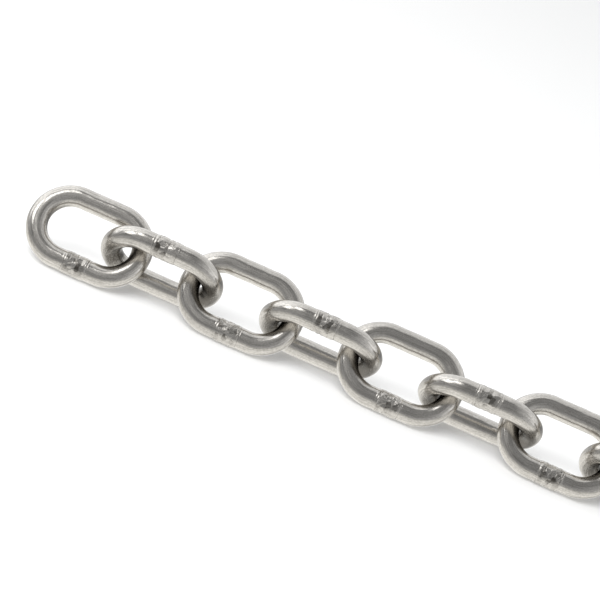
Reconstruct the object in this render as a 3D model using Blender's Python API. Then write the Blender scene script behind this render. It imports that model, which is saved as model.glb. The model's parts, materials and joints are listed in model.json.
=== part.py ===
"""One foot of welded short-link stainless chain, lying straight along X on the floor.

Metres, +Z up, floor at z = 0, the middle of the chain over the origin, and -Y the side
that the photograph shows. Every link is one round bar, bent to an oval and butt-welded in
the middle of one leg. Neighbours lean opposite ways, so each one rests on a single leg.
"""

import math

import bmesh
import bpy
from mathutils import Matrix, Vector

# The bar and the oval that it is bent to
WIRE = 0.0060  # diameter of the bar
INNER_LENGTH = 0.0245  # inside length of a link, which is the pitch of the taut chain
INNER_WIDTH = 0.0126  # inside width of a link
LINKS = 12

# The butt weld in the middle of one leg, measured along the bar from its middle
WELD_SWELL = 0.0002  # how far the weld stands proud of the bar
WELD_CROWN = 0.0024  # to the end of the part that stands fully proud
WELD_REACH = 0.0040  # to the end of the swelling

# How the chain lies
CONTACT_GAP = 0.0005  # between two links that bear on each other, along X
FIRST_SLACK = 0.0022  # the free end link has slid in towards its neighbour by this
LEAN = 50  # degrees between a link's plane and the floor, neighbours mirrored
SETTLED = (1, 5, 2, 0, 2, -3, 0, 2, -1, 3, 1, 0)  # degrees that each link leans more

# Facets of the round shapes
SECTION_SIDES = 18  # one side faces the middle of the eye, another the floor
BEND_STEPS = 9  # odd, so that a flat facet lies in the middle of each end

BEND_RADIUS = (INNER_WIDTH + WIRE) / 2  # of the bar's centre line round an end
HALF_STRAIGHT = (INNER_LENGTH - INNER_WIDTH) / 2
END = HALF_STRAIGHT + BEND_RADIUS  # from a link's middle to its end's centre line
PITCH = INNER_LENGTH - CONTACT_GAP
SEAT = PITCH - END  # from a link's middle to the bar that passes through its eye
ACROSS = Vector((0, 0, 1))  # the normal of a link's own plane

STEEL = (0.60, 0.58, 0.55, 1.0)
ROUGHNESS = 0.28


def extend(bm, ring, step, scale=1.0):
    """Draws the open end of the bar out by step and scales its new section."""
    grown = bmesh.ops.extrude_edge_only(bm, edges=ring)["geom"]
    corners = [item for item in grown if isinstance(item, bmesh.types.BMVert)]
    middle = sum((corner.co for corner in corners), Vector()) / len(corners)
    about = Matrix.Translation(-middle)
    bmesh.ops.scale(bm, vec=(1, scale, scale), verts=corners, space=about)
    bmesh.ops.translate(bm, vec=step, verts=corners)
    return [
        item
        for item in grown
        if isinstance(item, bmesh.types.BMEdge) and all(end in corners for end in item.verts)
    ]


def bend(bm, ring, middle):
    """Carries the open end of the bar half way round the given middle."""
    grown = bmesh.ops.spin(
        bm, geom=ring, cent=middle, axis=ACROSS, angle=math.pi, steps=BEND_STEPS
    )["geom_last"]
    return [item for item in grown if isinstance(item, bmesh.types.BMEdge)]


def link_mesh():
    """One link in its own plane, weld on the -Y leg. The origin is in the left of its eye,
    in the middle of the neighbour's bar that passes there."""
    bm = bmesh.new()
    corner_radius = WIRE / 2 / math.cos(math.pi / SECTION_SIDES)
    section = bmesh.ops.create_circle(bm, segments=SECTION_SIDES, radius=corner_radius)
    half_side = Matrix.Rotation(math.pi / SECTION_SIDES, 4, "Z")
    upright = Matrix.Rotation(math.pi / 2, 4, "Y")
    place = Matrix.Translation((WELD_REACH, -BEND_RADIUS, 0))
    bmesh.ops.transform(bm, matrix=place @ upright @ half_side, verts=section["verts"])
    ring = list(bm.edges)

    crown = (WIRE / 2 + WELD_SWELL) / (WIRE / 2)
    ring = extend(bm, ring, (HALF_STRAIGHT - WELD_REACH, 0, 0))
    ring = bend(bm, ring, (HALF_STRAIGHT, 0, 0))
    ring = extend(bm, ring, (-2 * HALF_STRAIGHT, 0, 0))
    ring = bend(bm, ring, (-HALF_STRAIGHT, 0, 0))
    ring = extend(bm, ring, (HALF_STRAIGHT - WELD_REACH, 0, 0))
    ring = extend(bm, ring, (WELD_REACH - WELD_CROWN, 0, 0), crown)
    ring = extend(bm, ring, (2 * WELD_CROWN, 0, 0))
    extend(bm, ring, (WELD_REACH - WELD_CROWN, 0, 0), 1 / crown)
    bmesh.ops.remove_doubles(bm, verts=bm.verts, dist=1e-6)
    bmesh.ops.recalc_face_normals(bm, faces=bm.faces)
    bmesh.ops.translate(bm, vec=(SEAT, 0, 0), verts=bm.verts)

    mesh = bpy.data.meshes.new("chain_link")
    bm.to_mesh(mesh)
    bm.free()
    mesh.shade_smooth()
    mesh.set_sharp_from_angle(angle=math.radians(35))
    return mesh


def steel(name):
    material = bpy.data.materials.new(name)
    material.use_nodes = True
    shader = material.node_tree.nodes["Principled BSDF"]
    shader.inputs["Base Color"].default_value = STEEL
    shader.inputs["Metallic"].default_value = 1.0
    shader.inputs["Roughness"].default_value = ROUGHNESS
    return material


for old in list(bpy.data.objects):
    bpy.data.objects.remove(old, do_unlink=True)

shape = link_mesh()
shape.materials.append(None)
chain = []
corners = []
for number, settled in enumerate(SETTLED, start=1):
    # The weld leg is the front one: low on odd links, which stand on their weld, and high
    # on even ones.
    side = 1 if number % 2 else -1
    lean = Matrix.Rotation(side * math.radians(LEAN + settled), 4, "X")
    slack = FIRST_SLACK if number == 1 else 0
    foot = min((lean @ vertex.co).z for vertex in shape.vertices)
    place = Matrix.Translation((PITCH * number + slack, 0, -foot)) @ lean
    link = bpy.data.objects.new(f"link_{number:02d}", shape)
    link.matrix_world = place
    link.material_slots[0].link = "OBJECT"
    link.material_slots[0].material = steel(f"link_{number:02d}_steel")
    bpy.context.scene.collection.objects.link(link)
    chain.append(link)
    corners += [place @ vertex.co for vertex in shape.vertices]

# Slide the whole chain so that the middle of its box is over the origin.
for axis in (0, 1):
    along = [corner[axis] for corner in corners]
    for link in chain:
        link.location[axis] -= (min(along) + max(along)) / 2
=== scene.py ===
"""One foot of welded short-link stainless chain, lying straight on a pale studio table."""

import json
import math

import bpy
import numpy as np
from mathutils import Matrix, Vector


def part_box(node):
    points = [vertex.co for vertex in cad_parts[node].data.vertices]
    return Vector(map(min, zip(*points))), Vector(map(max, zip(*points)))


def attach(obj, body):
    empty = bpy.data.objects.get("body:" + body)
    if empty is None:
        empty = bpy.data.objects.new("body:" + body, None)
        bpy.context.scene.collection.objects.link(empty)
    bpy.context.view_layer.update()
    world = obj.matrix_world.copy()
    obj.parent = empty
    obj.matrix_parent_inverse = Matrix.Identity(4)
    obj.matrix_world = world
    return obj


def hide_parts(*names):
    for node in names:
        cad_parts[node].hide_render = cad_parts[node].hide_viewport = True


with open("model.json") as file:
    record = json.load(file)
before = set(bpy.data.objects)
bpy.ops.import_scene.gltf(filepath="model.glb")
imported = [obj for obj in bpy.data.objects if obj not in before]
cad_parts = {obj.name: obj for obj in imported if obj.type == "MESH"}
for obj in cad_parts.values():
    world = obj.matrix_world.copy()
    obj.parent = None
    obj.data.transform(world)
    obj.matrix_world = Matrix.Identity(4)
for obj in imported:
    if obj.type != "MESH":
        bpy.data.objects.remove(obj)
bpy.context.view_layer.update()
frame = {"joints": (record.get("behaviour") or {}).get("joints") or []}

# The camera looks down on the near end of the chain from the front, a little from the
# right, and is rolled, so that the straight chain runs down across the picture.
AIM = Vector((-0.0705, 0.0, 0.0185))
DISTANCE = 0.587
LENS = 128.75  # mm
SENSOR = 36  # mm wide
TURN = 2.79  # degrees to the right of straight in front
HEIGHT = 21.79  # degrees above the table
ROLL = 22.81  # degrees

scene = bpy.context.scene
camera = bpy.data.objects.new("camera", bpy.data.cameras.new("camera"))
camera.data.lens = LENS
camera.data.sensor_width = SENSOR
camera.data.clip_start = 0.01
camera.data.clip_end = 30
heading = (
    Matrix.Rotation(math.radians(TURN), 4, "Z")
    @ Matrix.Rotation(math.radians(90 - HEIGHT), 4, "X")
    @ Matrix.Rotation(math.radians(ROLL), 4, "Z")
)
camera.matrix_world = Matrix.Translation(AIM) @ heading @ Matrix.Translation((0, 0, DISTANCE))
scene.collection.objects.link(camera)
scene.camera = camera
scene.view_settings.view_transform = "Standard"

# The table is a plain matt white sheet. To the eye it glows a little, so that the chain's
# shadow stays faint. The white that the chain reflects from below is the studio's own.
TABLE_REACH = 8.0
TABLE_WHITE = (0.82, 0.82, 0.815, 1.0)
TABLE_ROUGHNESS = 0.7
TABLE_GLOSS = 0.1
TABLE_GLOW = 0.14


def add_node(tree, kind, **values):
    made = tree.nodes.new(kind)
    for name, value in values.items():
        setattr(made, name, value)
    return made


def arithmetic(tree, operation, first, second):
    """Two values put together, each of them a number or another node's output."""
    made = add_node(tree, "ShaderNodeMath", operation=operation)
    for socket, value in zip(made.inputs, (first, second)):
        if isinstance(value, float):
            socket.default_value = value
        else:
            tree.links.new(value, socket)
    return made.outputs[0]


def flat_sheet(name, corners, material):
    mesh = bpy.data.meshes.new(name)
    mesh.from_pydata(corners, [], [(0, 1, 2, 3)])
    mesh.materials.append(material)
    sheet = bpy.data.objects.new(name, mesh)
    scene.collection.objects.link(sheet)
    return sheet


white_sheet = bpy.data.materials.new("white_sheet")
white_sheet.use_nodes = True
white_nodes = white_sheet.node_tree
white = white_nodes.nodes["Principled BSDF"]
white.inputs["Base Color"].default_value = TABLE_WHITE
white.inputs["Roughness"].default_value = TABLE_ROUGHNESS
white.inputs["Specular IOR Level"].default_value = TABLE_GLOSS
white.inputs["Emission Color"].default_value = (1, 1, 1, 1)
seen = add_node(white_nodes, "ShaderNodeLightPath").outputs["Is Camera Ray"]
glow = arithmetic(white_nodes, "MULTIPLY", seen, TABLE_GLOW)
white_nodes.links.new(glow, white.inputs["Emission Strength"])
table_corners = [
    (-TABLE_REACH, -TABLE_REACH, 0),
    (TABLE_REACH, -TABLE_REACH, 0),
    (TABLE_REACH, TABLE_REACH, 0),
    (-TABLE_REACH, TABLE_REACH, 0),
]
table = flat_sheet("table", table_corners, white_sheet)
table.visible_glossy = False

# The studio: a white tent behind, brightest on the left, and a white sweep below. Between
# them, on the camera's side and overhead, the room is open and dim. Each fade is given by
# where it starts and ends, on the way from -1 to 1 towards +X, the tent or the zenith.
DIM_SIDE = 0.17
DARKEST = 0.10
TENT = 0.72
TENT_EDGE = Vector((0.0, 1.0, 0.0))  # the tent fills the half of the sky on this side
TENT_EDGE_FADE = (-0.05, 0.08)
TENT_LEFT = 0.34
TENT_LEFT_FADE = (0.1, -0.9)
TENT_RIGHT = -0.28
TENT_RIGHT_FADE = (0.2, 0.9)
TENT_LOW = 0.14
TENT_LOW_FADE = (0.85, 0.35)
TENT_FOOT = 0.12  # the share of its light that is left below the table's level
TENT_FOOT_FADE = (-0.02, 0.14)
NEAR_HORIZON = 0.19
NEAR_HORIZON_FADE = (0.30, -0.05)
SWEEP = 0.64
SWEEP_FADE = (-0.05, -0.70)
ROOM_TINT = (0.992, 1.0, 1.012, 1.0)
SWEEP_TINT = (1.004, 1.0, 0.976, 1.0)
TINT_FADE = (-0.1, -0.4)
# Round patches with soft edges: azimuth and elevation of the middle, the radius at which
# the patch begins to fade and at which it ends, in degrees, and the light that it adds.
TENT_SHADE = (0, 63, 10, 36, -0.30)  # takes away this share of the tent's light
PATCHES = (
    (-20, 25, 15, 75, 0.24),
    (-172, 50, 10, 32, 0.22),
    (46, -54, 6, 26, -0.50),
    (42, -14, 8, 34, -0.22),
    (40, -86, 10, 40, 0.05),
    (-18, 24, 8, 42, 0.19),
    (-174, 14, 4, 22, 0.20),
    (-166, -24, 4, 22, -0.15),
    (-165, 80, 4, 22, 0.06),
    (5, 82, 2, 18, -0.12),
    (-50, 46, 5, 24, -0.14),
    (-13, 10, 3, 18, 0.28),
    (50, 48, 8, 48, -0.12),
    (-110, -40, 8, 48, -0.05),
    (-48, -8, 8, 40, -0.08),
)


def direction_of(azimuth, elevation):
    """The direction to a place in the studio. Azimuth is from +X towards +Y."""
    across = math.radians(azimuth)
    up = math.radians(elevation)
    return Vector((math.cos(across) * math.cos(up), math.sin(across) * math.cos(up), math.sin(up)))


def ramp(tree, value, fade, low, high):
    """Goes smoothly from low to high while the value passes through the fade."""
    made = add_node(tree, "ShaderNodeMapRange", interpolation_type="SMOOTHSTEP")
    tree.links.new(value, made.inputs["Value"])
    made.inputs["From Min"].default_value = fade[0]
    made.inputs["From Max"].default_value = fade[1]
    made.inputs["To Min"].default_value = low
    made.inputs["To Max"].default_value = high
    return made.outputs["Result"]


def studio_sky():
    world = bpy.data.worlds.new("studio")
    world.use_nodes = True
    tree = world.node_tree
    tree.nodes.clear()
    direction = add_node(tree, "ShaderNodeTexCoord").outputs["Generated"]
    parts = add_node(tree, "ShaderNodeSeparateXYZ")
    tree.links.new(direction, parts.inputs[0])
    across = parts.outputs["X"]
    height = parts.outputs["Z"]

    def towards(way):
        made = add_node(tree, "ShaderNodeVectorMath", operation="DOT_PRODUCT")
        tree.links.new(direction, made.inputs[0])
        made.inputs[1].default_value = way
        return made.outputs["Value"]

    def patch(azimuth, elevation, inner, outer, light):
        fade = (math.cos(math.radians(outer)), math.cos(math.radians(inner)))
        return ramp(tree, towards(direction_of(azimuth, elevation)), fade, 0.0, light)

    left = ramp(tree, across, TENT_LEFT_FADE, TENT, TENT + TENT_LEFT)
    right = ramp(tree, across, TENT_RIGHT_FADE, 0.0, TENT_RIGHT)
    lower = ramp(tree, height, TENT_LOW_FADE, 0.0, TENT_LOW)
    edge = ramp(tree, towards(TENT_EDGE), TENT_EDGE_FADE, 0.0, 1.0)
    foot = ramp(tree, height, TENT_FOOT_FADE, TENT_FOOT, 1.0)
    shade = arithmetic(tree, "ADD", patch(*TENT_SHADE), 1.0)
    tent = arithmetic(tree, "ADD", left, right)
    tent = arithmetic(tree, "ADD", tent, lower)
    for share in (edge, foot, shade):
        tent = arithmetic(tree, "MULTIPLY", tent, share)
    light = arithmetic(tree, "ADD", tent, DIM_SIDE)
    for fade, added in ((NEAR_HORIZON_FADE, NEAR_HORIZON), (SWEEP_FADE, SWEEP)):
        light = arithmetic(tree, "ADD", light, ramp(tree, height, fade, 0.0, added))
    for place in PATCHES:
        light = arithmetic(tree, "ADD", light, patch(*place))
    light = arithmetic(tree, "MAXIMUM", light, DARKEST)
    tint = add_node(tree, "ShaderNodeMix", data_type="RGBA")
    tree.links.new(ramp(tree, height, TINT_FADE, 0.0, 1.0), tint.inputs["Factor"])
    tint.inputs["A"].default_value = ROOM_TINT
    tint.inputs["B"].default_value = SWEEP_TINT
    background = add_node(tree, "ShaderNodeBackground")
    tree.links.new(tint.outputs["Result"], background.inputs["Color"])
    tree.links.new(light, background.inputs["Strength"])
    sky = add_node(tree, "ShaderNodeOutputWorld")
    tree.links.new(background.outputs[0], sky.inputs["Surface"])
    return world


scene.world = studio_sky()

# Two soft boxes on the left give the bars their bright streaks. A third, above the camera
# and to its left, is for the table alone, and isn't seen in the steel.
BOX_DISTANCE = 1.2


def soft_box(name, azimuth, elevation, width, height, radiance):
    """A soft box that faces the chain."""
    away = direction_of(azimuth, elevation)
    light = bpy.data.lights.new(name, "AREA")
    light.shape = "RECTANGLE"
    light.size = width
    light.size_y = height
    light.energy = radiance * math.pi * width * height
    box = bpy.data.objects.new(name, light)
    facing = away.to_track_quat("Z", "Y").to_matrix().to_4x4()
    box.matrix_world = Matrix.Translation(AIM + BOX_DISTANCE * away) @ facing
    box.visible_camera = False
    scene.collection.objects.link(box)
    return box


soft_box("left_soft_box", azimuth=-160, elevation=35, width=0.52, height=0.50, radiance=2.1)
soft_box("high_soft_box", azimuth=-143, elevation=59, width=0.50, height=0.36, radiance=2.0)
fill = soft_box("front_fill", azimuth=-115, elevation=52, width=0.9, height=0.9, radiance=4.6)
fill.visible_glossy = False

# A sheer scrim hangs close in front of the left end. It lights the camera's side of the
# first links, and fades out along the chain and downwards.
SCRIM_Y = -0.26
SCRIM_LEFT = -0.42
SCRIM_RIGHT = 0.02
SCRIM_BOTTOM = 0.02
SCRIM_TOP = 0.52
SCRIM_LIGHT = 0.24
SCRIM_FADE_ALONG = (-0.01, -0.17)
SCRIM_FADE_UP = (0.02, 0.14)

sheer_scrim = bpy.data.materials.new("sheer_scrim")
sheer_scrim.use_nodes = True
scrim_nodes = sheer_scrim.node_tree
scrim_nodes.nodes.clear()
scrim_point = add_node(scrim_nodes, "ShaderNodeTexCoord").outputs["Object"]
scrim_place = add_node(scrim_nodes, "ShaderNodeSeparateXYZ")
scrim_nodes.links.new(scrim_point, scrim_place.inputs[0])
scrim_along = ramp(scrim_nodes, scrim_place.outputs["X"], SCRIM_FADE_ALONG, 0.0, SCRIM_LIGHT)
scrim_up = ramp(scrim_nodes, scrim_place.outputs["Z"], SCRIM_FADE_UP, 0.0, 1.0)
scrim_strength = arithmetic(scrim_nodes, "MULTIPLY", scrim_along, scrim_up)
scrim_shine = add_node(scrim_nodes, "ShaderNodeEmission")
scrim_nodes.links.new(scrim_strength, scrim_shine.inputs["Strength"])
scrim_clear = add_node(scrim_nodes, "ShaderNodeBsdfTransparent")
scrim_both = add_node(scrim_nodes, "ShaderNodeAddShader")
scrim_nodes.links.new(scrim_shine.outputs[0], scrim_both.inputs[0])
scrim_nodes.links.new(scrim_clear.outputs[0], scrim_both.inputs[1])
scrim_output = add_node(scrim_nodes, "ShaderNodeOutputMaterial")
scrim_nodes.links.new(scrim_both.outputs[0], scrim_output.inputs["Surface"])
scrim_corners = [
    (SCRIM_LEFT, SCRIM_Y, SCRIM_BOTTOM),
    (SCRIM_RIGHT, SCRIM_Y, SCRIM_BOTTOM),
    (SCRIM_RIGHT, SCRIM_Y, SCRIM_TOP),
    (SCRIM_LEFT, SCRIM_Y, SCRIM_TOP),
]
scrim = flat_sheet("scrim", scrim_corners, sheer_scrim)
scrim.visible_camera = False

# The links: round stainless bar, bent to an oval and butt-welded in the middle of one leg.
# The bar runs round the oval from the weld back to the weld, first along the front leg to
# the right-hand bend.
BAR = 0.0060  # diameter
INNER_LENGTH = 0.0245
INNER_WIDTH = 0.0126
BEND_RADIUS = (INNER_WIDTH + BAR) / 2
HALF_STRAIGHT = (INNER_LENGTH - INNER_WIDTH) / 2  # from the weld to the right-hand bend
HALF_TURN = math.pi * BEND_RADIUS  # the length of bar in one bend
BACK_LEG = HALF_STRAIGHT + HALF_TURN  # from the weld to the start of the back leg
LEFT_BEND = 3 * HALF_STRAIGHT + HALF_TURN  # from the weld to the start of the left-hand bend
BAR_LENGTH = 4 * HALF_STRAIGHT + 2 * HALF_TURN
SIDES = 96  # faces round the bar
FINE_STEP = 0.00008
FINE_REACH = 0.0046  # of the fine steps on each side of the weld
COARSE_STEP = 0.00045


def stations():
    """Distances along the bar from the weld, close together near the weld."""
    fine = np.arange(FINE_STEP / 2, FINE_REACH, FINE_STEP)
    steps = round((BAR_LENGTH - 2 * FINE_REACH) / COARSE_STEP)
    coarse = np.linspace(FINE_REACH, BAR_LENGTH - FINE_REACH, steps)
    return np.concatenate([fine, coarse, BAR_LENGTH - fine[::-1]])


def centre_line(along):
    """The middle of the bar and the direction away from the eye, at each distance."""
    turned = np.clip(along - HALF_STRAIGHT, 0, HALF_TURN)
    turned = turned + np.clip(along - LEFT_BEND, 0, HALF_TURN)
    turned = turned / BEND_RADIUS
    shift = np.clip(along, 0, HALF_STRAIGHT)
    shift = shift - np.clip(along - BACK_LEG, 0, 2 * HALF_STRAIGHT)
    shift = shift + np.clip(along - LEFT_BEND - HALF_TURN, 0, HALF_STRAIGHT)
    outward = np.stack([np.sin(turned), -np.cos(turned), 0 * turned], axis=-1)
    middle = outward * BEND_RADIUS
    middle[:, 0] += shift
    return middle, outward


# The drawn bar isn't perfectly even: it waves by a few hundredths of a millimetre, and its
# outer side is drawn a little flat in the bends.
WAVES = 14
WAVE_HEIGHT = 0.000012  # of the longest waves
FEWEST_TURNS = 4  # waves of one kind in the whole length of bar
MOST_TURNS = 25
MOST_LOBES = 3  # waves of one kind round the bar
FLATTENED = 0.00007


def bar_shape(along, angle, dice):
    relief = np.zeros(np.broadcast(along, angle).shape)
    for _ in range(WAVES):
        turns = dice.integers(FEWEST_TURNS, MOST_TURNS + 1)
        lobes = dice.integers(-MOST_LOBES, MOST_LOBES + 1)
        start = dice.uniform(0, 2 * math.pi)
        height = WAVE_HEIGHT * 2 * FEWEST_TURNS / (FEWEST_TURNS + turns)
        relief += height * np.cos(2 * math.pi * turns * along / BAR_LENGTH + lobes * angle + start)
    in_bend = 0
    for bend in (HALF_STRAIGHT, LEFT_BEND):
        in_bend = in_bend + np.sin(np.clip(along - bend, 0, HALF_TURN) / BEND_RADIUS) ** 2
    relief -= FLATTENED * in_bend * np.clip(np.cos(angle), 0, 1) ** 2
    return relief


# The butt weld stands a little proud. Its flash was trimmed off, which left flats, small
# facets that are dull or bright, and chisel cuts, with slanting creases at both ends and a
# rough joint in the middle.
SWELL = 0.0002
CROWN = 0.0024  # from the middle to the end of the part that stands fully proud
REACH = 0.0040  # to the end of the swelling


def wrapped(angle):
    return (angle + math.pi) % (2 * math.pi) - math.pi


# Flats: the sides on which the flash was sheared away. Each has its own depth and tilt, and
# rises a little towards its ends.
FLATS = 7
FLAT_REACH = 0.0026
FLAT_DEPTH = (0.00005, 0.00014)
FLAT_TILT = 0.10
FLAT_HALF_WIDTH = 1.2  # radians
FLAT_BOW = 0.012


def sheared_flats(near, angle, plain, dice):
    surface = plain.copy()
    for _ in range(FLATS):
        at = dice.uniform(-FLAT_REACH, FLAT_REACH)
        facing = dice.uniform(-math.pi, math.pi)
        depth = dice.uniform(*FLAT_DEPTH)
        tilt = dice.uniform(-FLAT_TILT, FLAT_TILT)
        aside = wrapped(angle - facing)
        flat = (BAR / 2 + SWELL - depth) / np.maximum(np.cos(aside), 0.2)
        flat = flat + tilt * (near - at) + (near - at) ** 2 / FLAT_BOW
        surface = np.minimum(surface, np.where(np.abs(aside) < FLAT_HALF_WIDTH, flat, surface))
    return surface


# Facets: what the trimming left all over the weld, set as in a wall of uneven stones. Each
# has its own depth, tilt and dullness.
FACETS_ALONG = 5
FACETS_ROUND = 10
FACET_SPAN = 0.0056  # the length of bar that they cover
FACET_END = 0.0029  # from the middle of the weld to the end of the last ones
FACET_END_FADE = 0.0002
FACET_SHIFT = 0.0003  # how far one may lie off its place along the bar
FACET_TURN = 0.3  # and round it, as a share of its width
FACET_DEPTH = (0.00002, 0.00010)
FACET_DEEPEST = 0.00020
FACET_TILT = 0.17
FACET_SLANT = 0.3
FACET_STRETCH = 0.7  # below 1, they are longer round the bar than along it
TONES = (0.0, 0.0, 0.3, 0.65, 1.0)  # how dull a facet is


def trimmed_facets(near, angle, shape, dice):
    """How much the facets take off, and how dull they are."""
    nearest = np.full(shape, np.inf)
    cut_away = np.zeros(shape)
    tone = np.zeros(shape)
    for row in range(FACETS_ALONG):
        for column in range(FACETS_ROUND):
            at = ((row + 0.5) / FACETS_ALONG - 0.5) * FACET_SPAN
            at = at + dice.uniform(-FACET_SHIFT, FACET_SHIFT)
            turn = column + 0.5 * (row % 2) + dice.uniform(-FACET_TURN, FACET_TURN)
            depth = dice.uniform(*FACET_DEPTH)
            tilt_along, tilt_round = dice.uniform(-FACET_TILT, FACET_TILT, 2)
            slant = dice.uniform(-FACET_SLANT, FACET_SLANT)
            shade = dice.choice(TONES)
            away = near - at
            aside = wrapped(angle - 2 * math.pi * turn / FACETS_ROUND) * BAR / 2
            distance = np.hypot(away - slant * aside, FACET_STRETCH * aside)
            closer = distance < nearest
            nearest = np.where(closer, distance, nearest)
            cut_away = np.where(closer, depth + tilt_along * away + tilt_round * aside, cut_away)
            tone = np.where(closer, shade, tone)
    ends = np.clip((FACET_END - np.abs(near)) / FACET_END_FADE, 0, 1)
    return np.clip(cut_away, 0, FACET_DEEPEST) * ends, tone


# Chisel cuts: a few slanting strokes, most of them near the side that was scraped. Each is
# deepest in its middle and has one steep side.
CUTS = 4
CUT_REACH = 0.0029
CUT_SPREAD = (0.15, 1.0)  # how far off the scraped side it may lie, as a share of half a turn
CUT_HALF_WIDTH = (0.35, 0.7)  # radians
CUT_DEPTH = (0.00009, 0.00019)
CUT_SLOPE = (0.10, 0.24)
CUT_STEEP_SLOPE = 1.1
CUT_SLANT = 0.35


def chisel_cuts(near, angle, scraped_and_shaded_side, cut_away, dice):
    for _ in range(CUTS):
        at = dice.uniform(-CUT_REACH, CUT_REACH)
        facing = scraped_and_shaded_side + dice.uniform(-math.pi, math.pi) * dice.uniform(*CUT_SPREAD)
        half_width = dice.uniform(*CUT_HALF_WIDTH)
        depth = dice.uniform(*CUT_DEPTH)
        slope = dice.uniform(*CUT_SLOPE)
        way = dice.choice((-1, 1))
        slant = dice.uniform(-CUT_SLANT, CUT_SLANT)
        aside = wrapped(angle - facing)
        place = way * (near - at - slant * aside * BAR / 2)
        lens = np.sqrt(np.clip(1 - (aside / half_width) ** 2, 0, 1))
        cut = depth * lens - np.where(place > 0, slope * place, -CUT_STEEP_SLOPE * place)
        cut_away = np.maximum(cut_away, cut)
    return cut_away


# Creases: two at each end of the weld, pressed in by the edges of the trimming dies, each
# with a lip on its outer side. Given are its end, how far outwards it is moved, and how
# strong it is.
CREASES = (
    (-1, 0, 1.0),
    (-1, -0.0008, 0.7),
    (1, 0, 1.0),
    (1, -0.0006, 0.6),
)
CREASE_AT = 0.0034
CREASE_DEPTH = 0.00009
CREASE_WIDTH = 0.00017
CREASE_SLANT = 0.00040
CREASE_WAVE = 0.00010
LIP = 0.5  # of the depth
LIP_AT = 1.8  # widths further out


def end_creases(near, angle, surface, dice):
    """The surface with its creases pressed in, and how far each point lies in a crease."""
    grooves = np.zeros(surface.shape)
    for side, outwards, strength in CREASES:
        slant = dice.uniform(-CREASE_SLANT, CREASE_SLANT)
        bow = dice.uniform(0, 2 * math.pi)
        place = side * (CREASE_AT + outwards) + slant * np.sin(angle + bow)
        place = place + CREASE_WAVE * np.sin(3 * angle + dice.uniform(0, 6))
        fade = strength * (0.75 + 0.25 * np.sin(2 * angle + dice.uniform(0, 6)))
        groove = fade * np.exp(-(((near - place) / CREASE_WIDTH) ** 2))
        lip_place = place + side * LIP_AT * CREASE_WIDTH
        lip = fade * np.exp(-(((near - lip_place) / CREASE_WIDTH) ** 2))
        surface = surface - CREASE_DEPTH * groove + LIP * CREASE_DEPTH * lip
        grooves = np.maximum(grooves, groove)
    return surface, grooves


# The joint: a shallow broken line round the middle of the weld, where the two ends of the
# bar met.
JOINT_DEPTH = 0.00004
JOINT_WIDTH = 0.00016
JOINT_WAVE = 0.0003


def rough_joint(near, angle, surface, dice):
    joint = JOINT_WAVE * np.sin(2 * angle + dice.uniform(0, 6))
    seam = np.exp(-(((near - joint) / JOINT_WIDTH) ** 2))
    return surface - JOINT_DEPTH * seam * (0.5 + 0.5 * np.sin(5 * angle + dice.uniform(0, 6)))


# Most of the facets' dullness is kept to one side, the same for every link, which faces the
# camera and a little up: partly the facets' own dullness, partly painted shade there. On the
# other sides they were tumbled bright. Painted shade darkens the creases and whatever was cut
# deep.
SHADED_SIDE_WIDTH = 0.65  # radians
DULL_ELSEWHERE = 0.12
DULL_END = 0.0031
DULL_END_FADE = 0.0003
# Painted shade in the creases and in cuts: the deeper the surface lies, the darker it is painted.
GROOVE_PAINTED_SHADE = 0.8
CUT_PAINTED_SHADE_DEPTH = 0.00055  # a cut this deep would be fully dark


def weld_shape(along, angle, scraped_and_shaded_side, dice):
    """How far the weld's surface stands from the plain bar, where the weld is, the painted shade
    in its creases and deep cuts, and how dark its facets are: their own dullness, and painted
    shade on the side that faces the camera."""
    near = wrapped(2 * math.pi * along / BAR_LENGTH) * BAR_LENGTH / (2 * math.pi)
    zone = np.clip((REACH - np.abs(near)) / (REACH - CROWN), 0, 1)
    zone = zone * zone * (3 - 2 * zone)
    plain = BAR / 2 + SWELL * zone + 0 * angle
    surface = sheared_flats(near, angle, plain, dice)
    cut_away, tone = trimmed_facets(near, angle, plain.shape, dice)
    surface = surface - chisel_cuts(near, angle, scraped_and_shaded_side, cut_away, dice)
    surface, grooves = end_creases(near, angle, surface, dice)
    surface = rough_joint(near, angle, surface, dice)
    # Painted shade: darker in the creases and wherever the surface lies deep below the plain bar.
    recess_painted_shade = np.maximum(GROOVE_PAINTED_SHADE * grooves, np.clip((plain - surface) / CUT_PAINTED_SHADE_DEPTH, 0, 1))
    # Painted shade: the facets' darkness is kept mostly to the side that faces the camera and a
    # little up.
    side_shade = np.exp(-((wrapped(angle - scraped_and_shaded_side) / SHADED_SIDE_WIDTH) ** 2))
    dullness_and_side_shade = zone * (DULL_ELSEWHERE + (1 - DULL_ELSEWHERE) * side_shade)
    dullness_and_side_shade = dullness_and_side_shade * tone * np.clip((DULL_END - np.abs(near)) / DULL_END_FADE, 0, 1)
    return surface - BAR / 2, zone, recess_painted_shade, dullness_and_side_shade


# Where two links bear on each other, the inner side of the bend is darkened, most of all
# towards its lower flank: partly worn matt, partly painted shade of the pocket between the
# links. On the right-hand bend the painted shade reaches further, out to that flank.
BEARING_REACH = 0.0070
BEARING_SIDE = 1.35  # radians
BEARING_LOW = 0.75  # radians from the inner side to the middle of the marks
POCKET_SIDE = 0.9  # radians
# painted shade in the pocket on the right-hand bend's lower flank
POCKET_PAINTED_SHADE = 0.35


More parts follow.
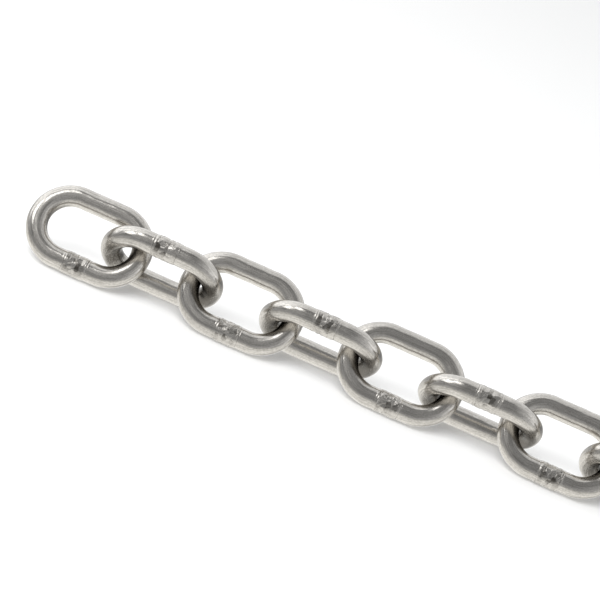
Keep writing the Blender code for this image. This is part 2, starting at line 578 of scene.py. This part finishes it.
def rub_and_painted_shade_marks(along, angle):
    marks = np.zeros(np.broadcast(along, angle).shape)
    for bend in (HALF_STRAIGHT, LEFT_BEND):
        lengthwise = np.exp(-(((along - bend - HALF_TURN / 2) / BEARING_REACH) ** 4))
        aside = wrapped(angle - math.pi - BEARING_LOW)
        marks += lengthwise * np.exp(-((aside / BEARING_SIDE) ** 4))
    lengthwise = np.exp(-(((along - HALF_STRAIGHT - HALF_TURN / 2) / BEARING_REACH) ** 4))
    aside = wrapped(angle + math.pi / 2)
    marks += POCKET_PAINTED_SHADE * lengthwise * np.exp(-((aside / POCKET_SIDE) ** 4))
    return marks


MILLIMETRES = 1000.0  # in a metre
GRAIN_SPREAD = 200  # mm, so that no two links have the same grain


def link_mesh(name, scraped_and_shaded_side, dice):
    """One link in its own plane, with its weld on the -Y leg and its eye round the origin."""
    along = stations()[:, None]
    angle = (2 * math.pi * np.arange(SIDES) / SIDES)[None, :]
    relief, weld, recess_painted_shade, dullness_and_side_shade = weld_shape(along, angle, scraped_and_shaded_side, dice)
    radius = BAR / 2 + relief + bar_shape(along, angle, dice)
    middle, outward = centre_line(along[:, 0])
    across = np.array([0.0, 0.0, 1.0])
    away = np.cos(angle)[..., None] * outward[:, None, :] + np.sin(angle)[..., None] * across
    points = middle[:, None, :] + radius[..., None] * away

    rings, sides = radius.shape
    index = np.arange(rings * sides).reshape(rings, sides)
    beside = np.roll(index, -1, axis=1)
    after = np.roll(index, -1, axis=0)
    after_beside = np.roll(after, -1, axis=1)
    faces = np.stack([index, beside, after_beside, after], axis=-1)
    mesh = bpy.data.meshes.new(name)
    mesh.from_pydata(points.reshape(-1, 3).tolist(), [], faces.reshape(-1, 4).tolist())
    mesh.shade_smooth()

    # The surface's own coordinates: along the bar and round it, in millimetres.
    unrolled = np.empty((rings, sides, 3))
    unrolled[..., 0] = along * MILLIMETRES
    unrolled[..., 1] = np.cos(angle) * BAR / 2 * MILLIMETRES
    unrolled[..., 2] = np.sin(angle) * BAR / 2 * MILLIMETRES
    unrolled += dice.uniform(0, GRAIN_SPREAD, 3)
    mesh.attributes.new("bar", "FLOAT_VECTOR", "POINT").data.foreach_set("vector", unrolled.ravel())
    marks = {
        "weld": weld + 0 * radius,
        # painted shade in the weld's creases and deep cuts
        "recess_painted_shade": recess_painted_shade,
        # the facets' own dullness, with painted shade on the side that faces the camera
        "dullness_and_side_shade": dullness_and_side_shade,
        # worn matt and painted shade where the links bear on each other
        "rub_and_painted_shade": rub_and_painted_shade_marks(along, angle),
    }
    for label, values in marks.items():
        mesh.attributes.new(label, "FLOAT", "POINT").data.foreach_set("value", values.ravel())
    return mesh


# The finish: bright stainless, tumbled after welding, so that it keeps fine lines along the
# bar, a faint grain and a few specks. In the weld it is rougher and nicked, and its facets
# have their own dullness. Painted shade darkens the weld's creases and deep cuts, its facets
# on the side that faces the camera and a little up, and the bends where the links bear on
# each other, which are also worn matt.
STEEL = (0.765, 0.736, 0.690, 1.0)
DULL_STEEL = (0.145, 0.134, 0.118, 1.0)
NOISE_HARSHNESS = 0.55
# From where to where in its noise, or in its depth, a mark comes to show.
SPECKS_SHOW = (0.66, 0.74)
NICKS_SHOW = (0.42, 0.62)
GRAIN_SHOWS = (0.38, 0.66)
LINES_SHOW = (0.40, 0.64)
CLOUD_SHOWS = (0.35, 0.75)
CREASES_SHOW = (0.35, 1.0)
# How far each mark takes the colour towards dull steel.
SPECK_SHADE = 0.36
GRAIN_SHADE = 0.18
LINE_SHADE = 0.22
CLOUD_SHADE = 0.10
# worn matt and painted shade where the links bear on each other
RUB_AND_PAINTED_SHADE = 0.80
# the facets' own dullness, with painted shade on the side that faces the camera
FACET_SHADE = 0.90
# painted shade in the weld's creases and deep cuts
RECESS_PAINTED_SHADE_STRENGTH = 0.65
# The roughness, between these two in the grain, and what the weld and the dark add.
SMOOTHEST = 0.14
ROUGHEST = 0.24
GRAIN_ROUGHENS = (0.3, 0.75)
WELD_ROUGHNESS = 0.07
DARK_ROUGHNESS = 0.10
# How high each mark stands, in metres.
DENT_HEIGHT = 0.000016
GRAIN_HEIGHT = 0.0000052
LINE_HEIGHT = 0.0000048
NICK_HEIGHT = 0.000005
SPECK_HEIGHT = -0.000003


def bright_stainless():
    material = bpy.data.materials.new("bright_stainless")
    material.use_nodes = True
    tree = material.node_tree
    shader = tree.nodes["Principled BSDF"]
    shader.inputs["Metallic"].default_value = 1.0

    def attribute(name, output):
        return add_node(tree, "ShaderNodeAttribute", attribute_name=name).outputs[output]

    bar = attribute("bar", "Vector")
    weld = attribute("weld", "Fac")
    recess_painted_shade = attribute("recess_painted_shade", "Fac")
    dullness_and_side_shade = attribute("dullness_and_side_shade", "Fac")
    rub_and_painted_shade = attribute("rub_and_painted_shade", "Fac")

    def noise(stretch, scale, detail):
        """Noise per millimetre, stretched along the bar and round it."""
        placed = add_node(tree, "ShaderNodeMapping")
        tree.links.new(bar, placed.inputs["Vector"])
        placed.inputs["Scale"].default_value = stretch
        made = add_node(tree, "ShaderNodeTexNoise")
        tree.links.new(placed.outputs[0], made.inputs["Vector"])
        made.inputs["Scale"].default_value = scale
        made.inputs["Detail"].default_value = detail
        made.inputs["Roughness"].default_value = NOISE_HARSHNESS
        return made.outputs["Fac"]

    grain = noise((0.55, 1.0, 1.0), scale=3.2, detail=1.0)
    lines = noise((0.03, 1.0, 1.0), scale=4.5, detail=2.0)
    dents = noise((0.5, 1.0, 1.0), scale=0.7, detail=1.0)
    cloud = noise((0.5, 1.0, 1.0), scale=0.35, detail=2.0)
    specks = noise((0.7, 1.0, 1.0), scale=4.2, detail=1.0)
    specks = ramp(tree, specks, SPECKS_SHOW, 0.0, 1.0)
    nicks = noise((3.0, 0.8, 0.8), scale=0.9, detail=1.0)
    nicks = arithmetic(tree, "MULTIPLY", ramp(tree, nicks, NICKS_SHOW, 0.0, 1.0), weld)

    dark = arithmetic(tree, "MULTIPLY", specks, SPECK_SHADE)
    for added in (
        ramp(tree, grain, GRAIN_SHOWS, 0.0, GRAIN_SHADE),
        ramp(tree, lines, LINES_SHOW, 0.0, LINE_SHADE),
        ramp(tree, cloud, CLOUD_SHOWS, 0.0, CLOUD_SHADE),
        # worn matt and painted shade where the links bear on each other
        arithmetic(tree, "MULTIPLY", rub_and_painted_shade, RUB_AND_PAINTED_SHADE),
        # the facets' own dullness, with painted shade on the side that faces the camera
        arithmetic(tree, "MULTIPLY", dullness_and_side_shade, FACET_SHADE),
        # painted shade in the weld's creases and deep cuts
        ramp(tree, recess_painted_shade, CREASES_SHOW, 0.0, RECESS_PAINTED_SHADE_STRENGTH),
    ):
        dark = arithmetic(tree, "ADD", dark, added)
    dark = arithmetic(tree, "MINIMUM", dark, 1.0)
    colour = add_node(tree, "ShaderNodeMix", data_type="RGBA")
    tree.links.new(dark, colour.inputs["Factor"])
    colour.inputs["A"].default_value = STEEL
    colour.inputs["B"].default_value = DULL_STEEL
    tree.links.new(colour.outputs["Result"], shader.inputs["Base Color"])

    rough = ramp(tree, grain, GRAIN_ROUGHENS, SMOOTHEST, ROUGHEST)
    for mark, added in ((weld, WELD_ROUGHNESS), (dark, DARK_ROUGHNESS)):
        rough = arithmetic(tree, "ADD", rough, arithmetic(tree, "MULTIPLY", mark, added))
    tree.links.new(rough, shader.inputs["Roughness"])

    surface = None
    for mark, height in (
        (dents, DENT_HEIGHT),
        (grain, GRAIN_HEIGHT),
        (lines, LINE_HEIGHT),
        (nicks, NICK_HEIGHT),
        (specks, SPECK_HEIGHT),
    ):
        bump = add_node(tree, "ShaderNodeBump")
        bump.inputs["Strength"].default_value = 1.0
        bump.inputs["Distance"].default_value = height
        tree.links.new(mark, bump.inputs["Height"])
        if surface:
            tree.links.new(surface, bump.inputs["Normal"])
        surface = bump.outputs["Normal"]
    tree.links.new(surface, shader.inputs["Normal"])
    return material


# The row: neighbours lean opposite ways and each rests on one leg, odd links on their weld
# and even ones with it on top. Each has settled to its own lean, as the solids have.
LEAN = 50  # degrees between a link's plane and the table
SETTLED = (1, 5, 2, 0, 2, -3, 0, 2, -1, 3, 1, 0)  # degrees that each link leans more
# On odd and even links alike, the side given here faces the camera and a little up. The cuts
# cluster there, and so does the facets' painted shade.
ODD_SCRAPED_AND_SHADED_SIDE = 74  # degrees round the bar, from the outer side, to the scraped side
EVEN_SCRAPED_AND_SHADED_SIDE = -26
FIRST_SEED = 780

steel = bright_stainless()
middle_line = frame["joints"][0]["pos_m"][1]
for number, settled in enumerate(SETTLED, start=1):
    name = f"link_{number:02d}"
    odd = number % 2 == 1
    dice = np.random.default_rng(FIRST_SEED + number)
    mesh = link_mesh(f"{name}_steel", math.radians(ODD_SCRAPED_AND_SHADED_SIDE if odd else EVEN_SCRAPED_AND_SHADED_SIDE), dice)
    mesh.materials.append(steel)
    lean = math.radians(LEAN + settled)
    mesh.transform(Matrix.Rotation(lean if odd else -lean, 4, "X"))
    coordinates = np.empty(len(mesh.vertices) * 3)
    mesh.vertices.foreach_get("co", coordinates)
    foot = coordinates[2::3].min()
    box_low, box_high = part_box(name)
    mesh.transform(Matrix.Translation(((box_low.x + box_high.x) / 2, middle_line, -foot)))
    piece = bpy.data.objects.new(f"{name}_steel", mesh)
    scene.collection.objects.link(piece)
    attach(piece, f"{name}_body")
    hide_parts(name)
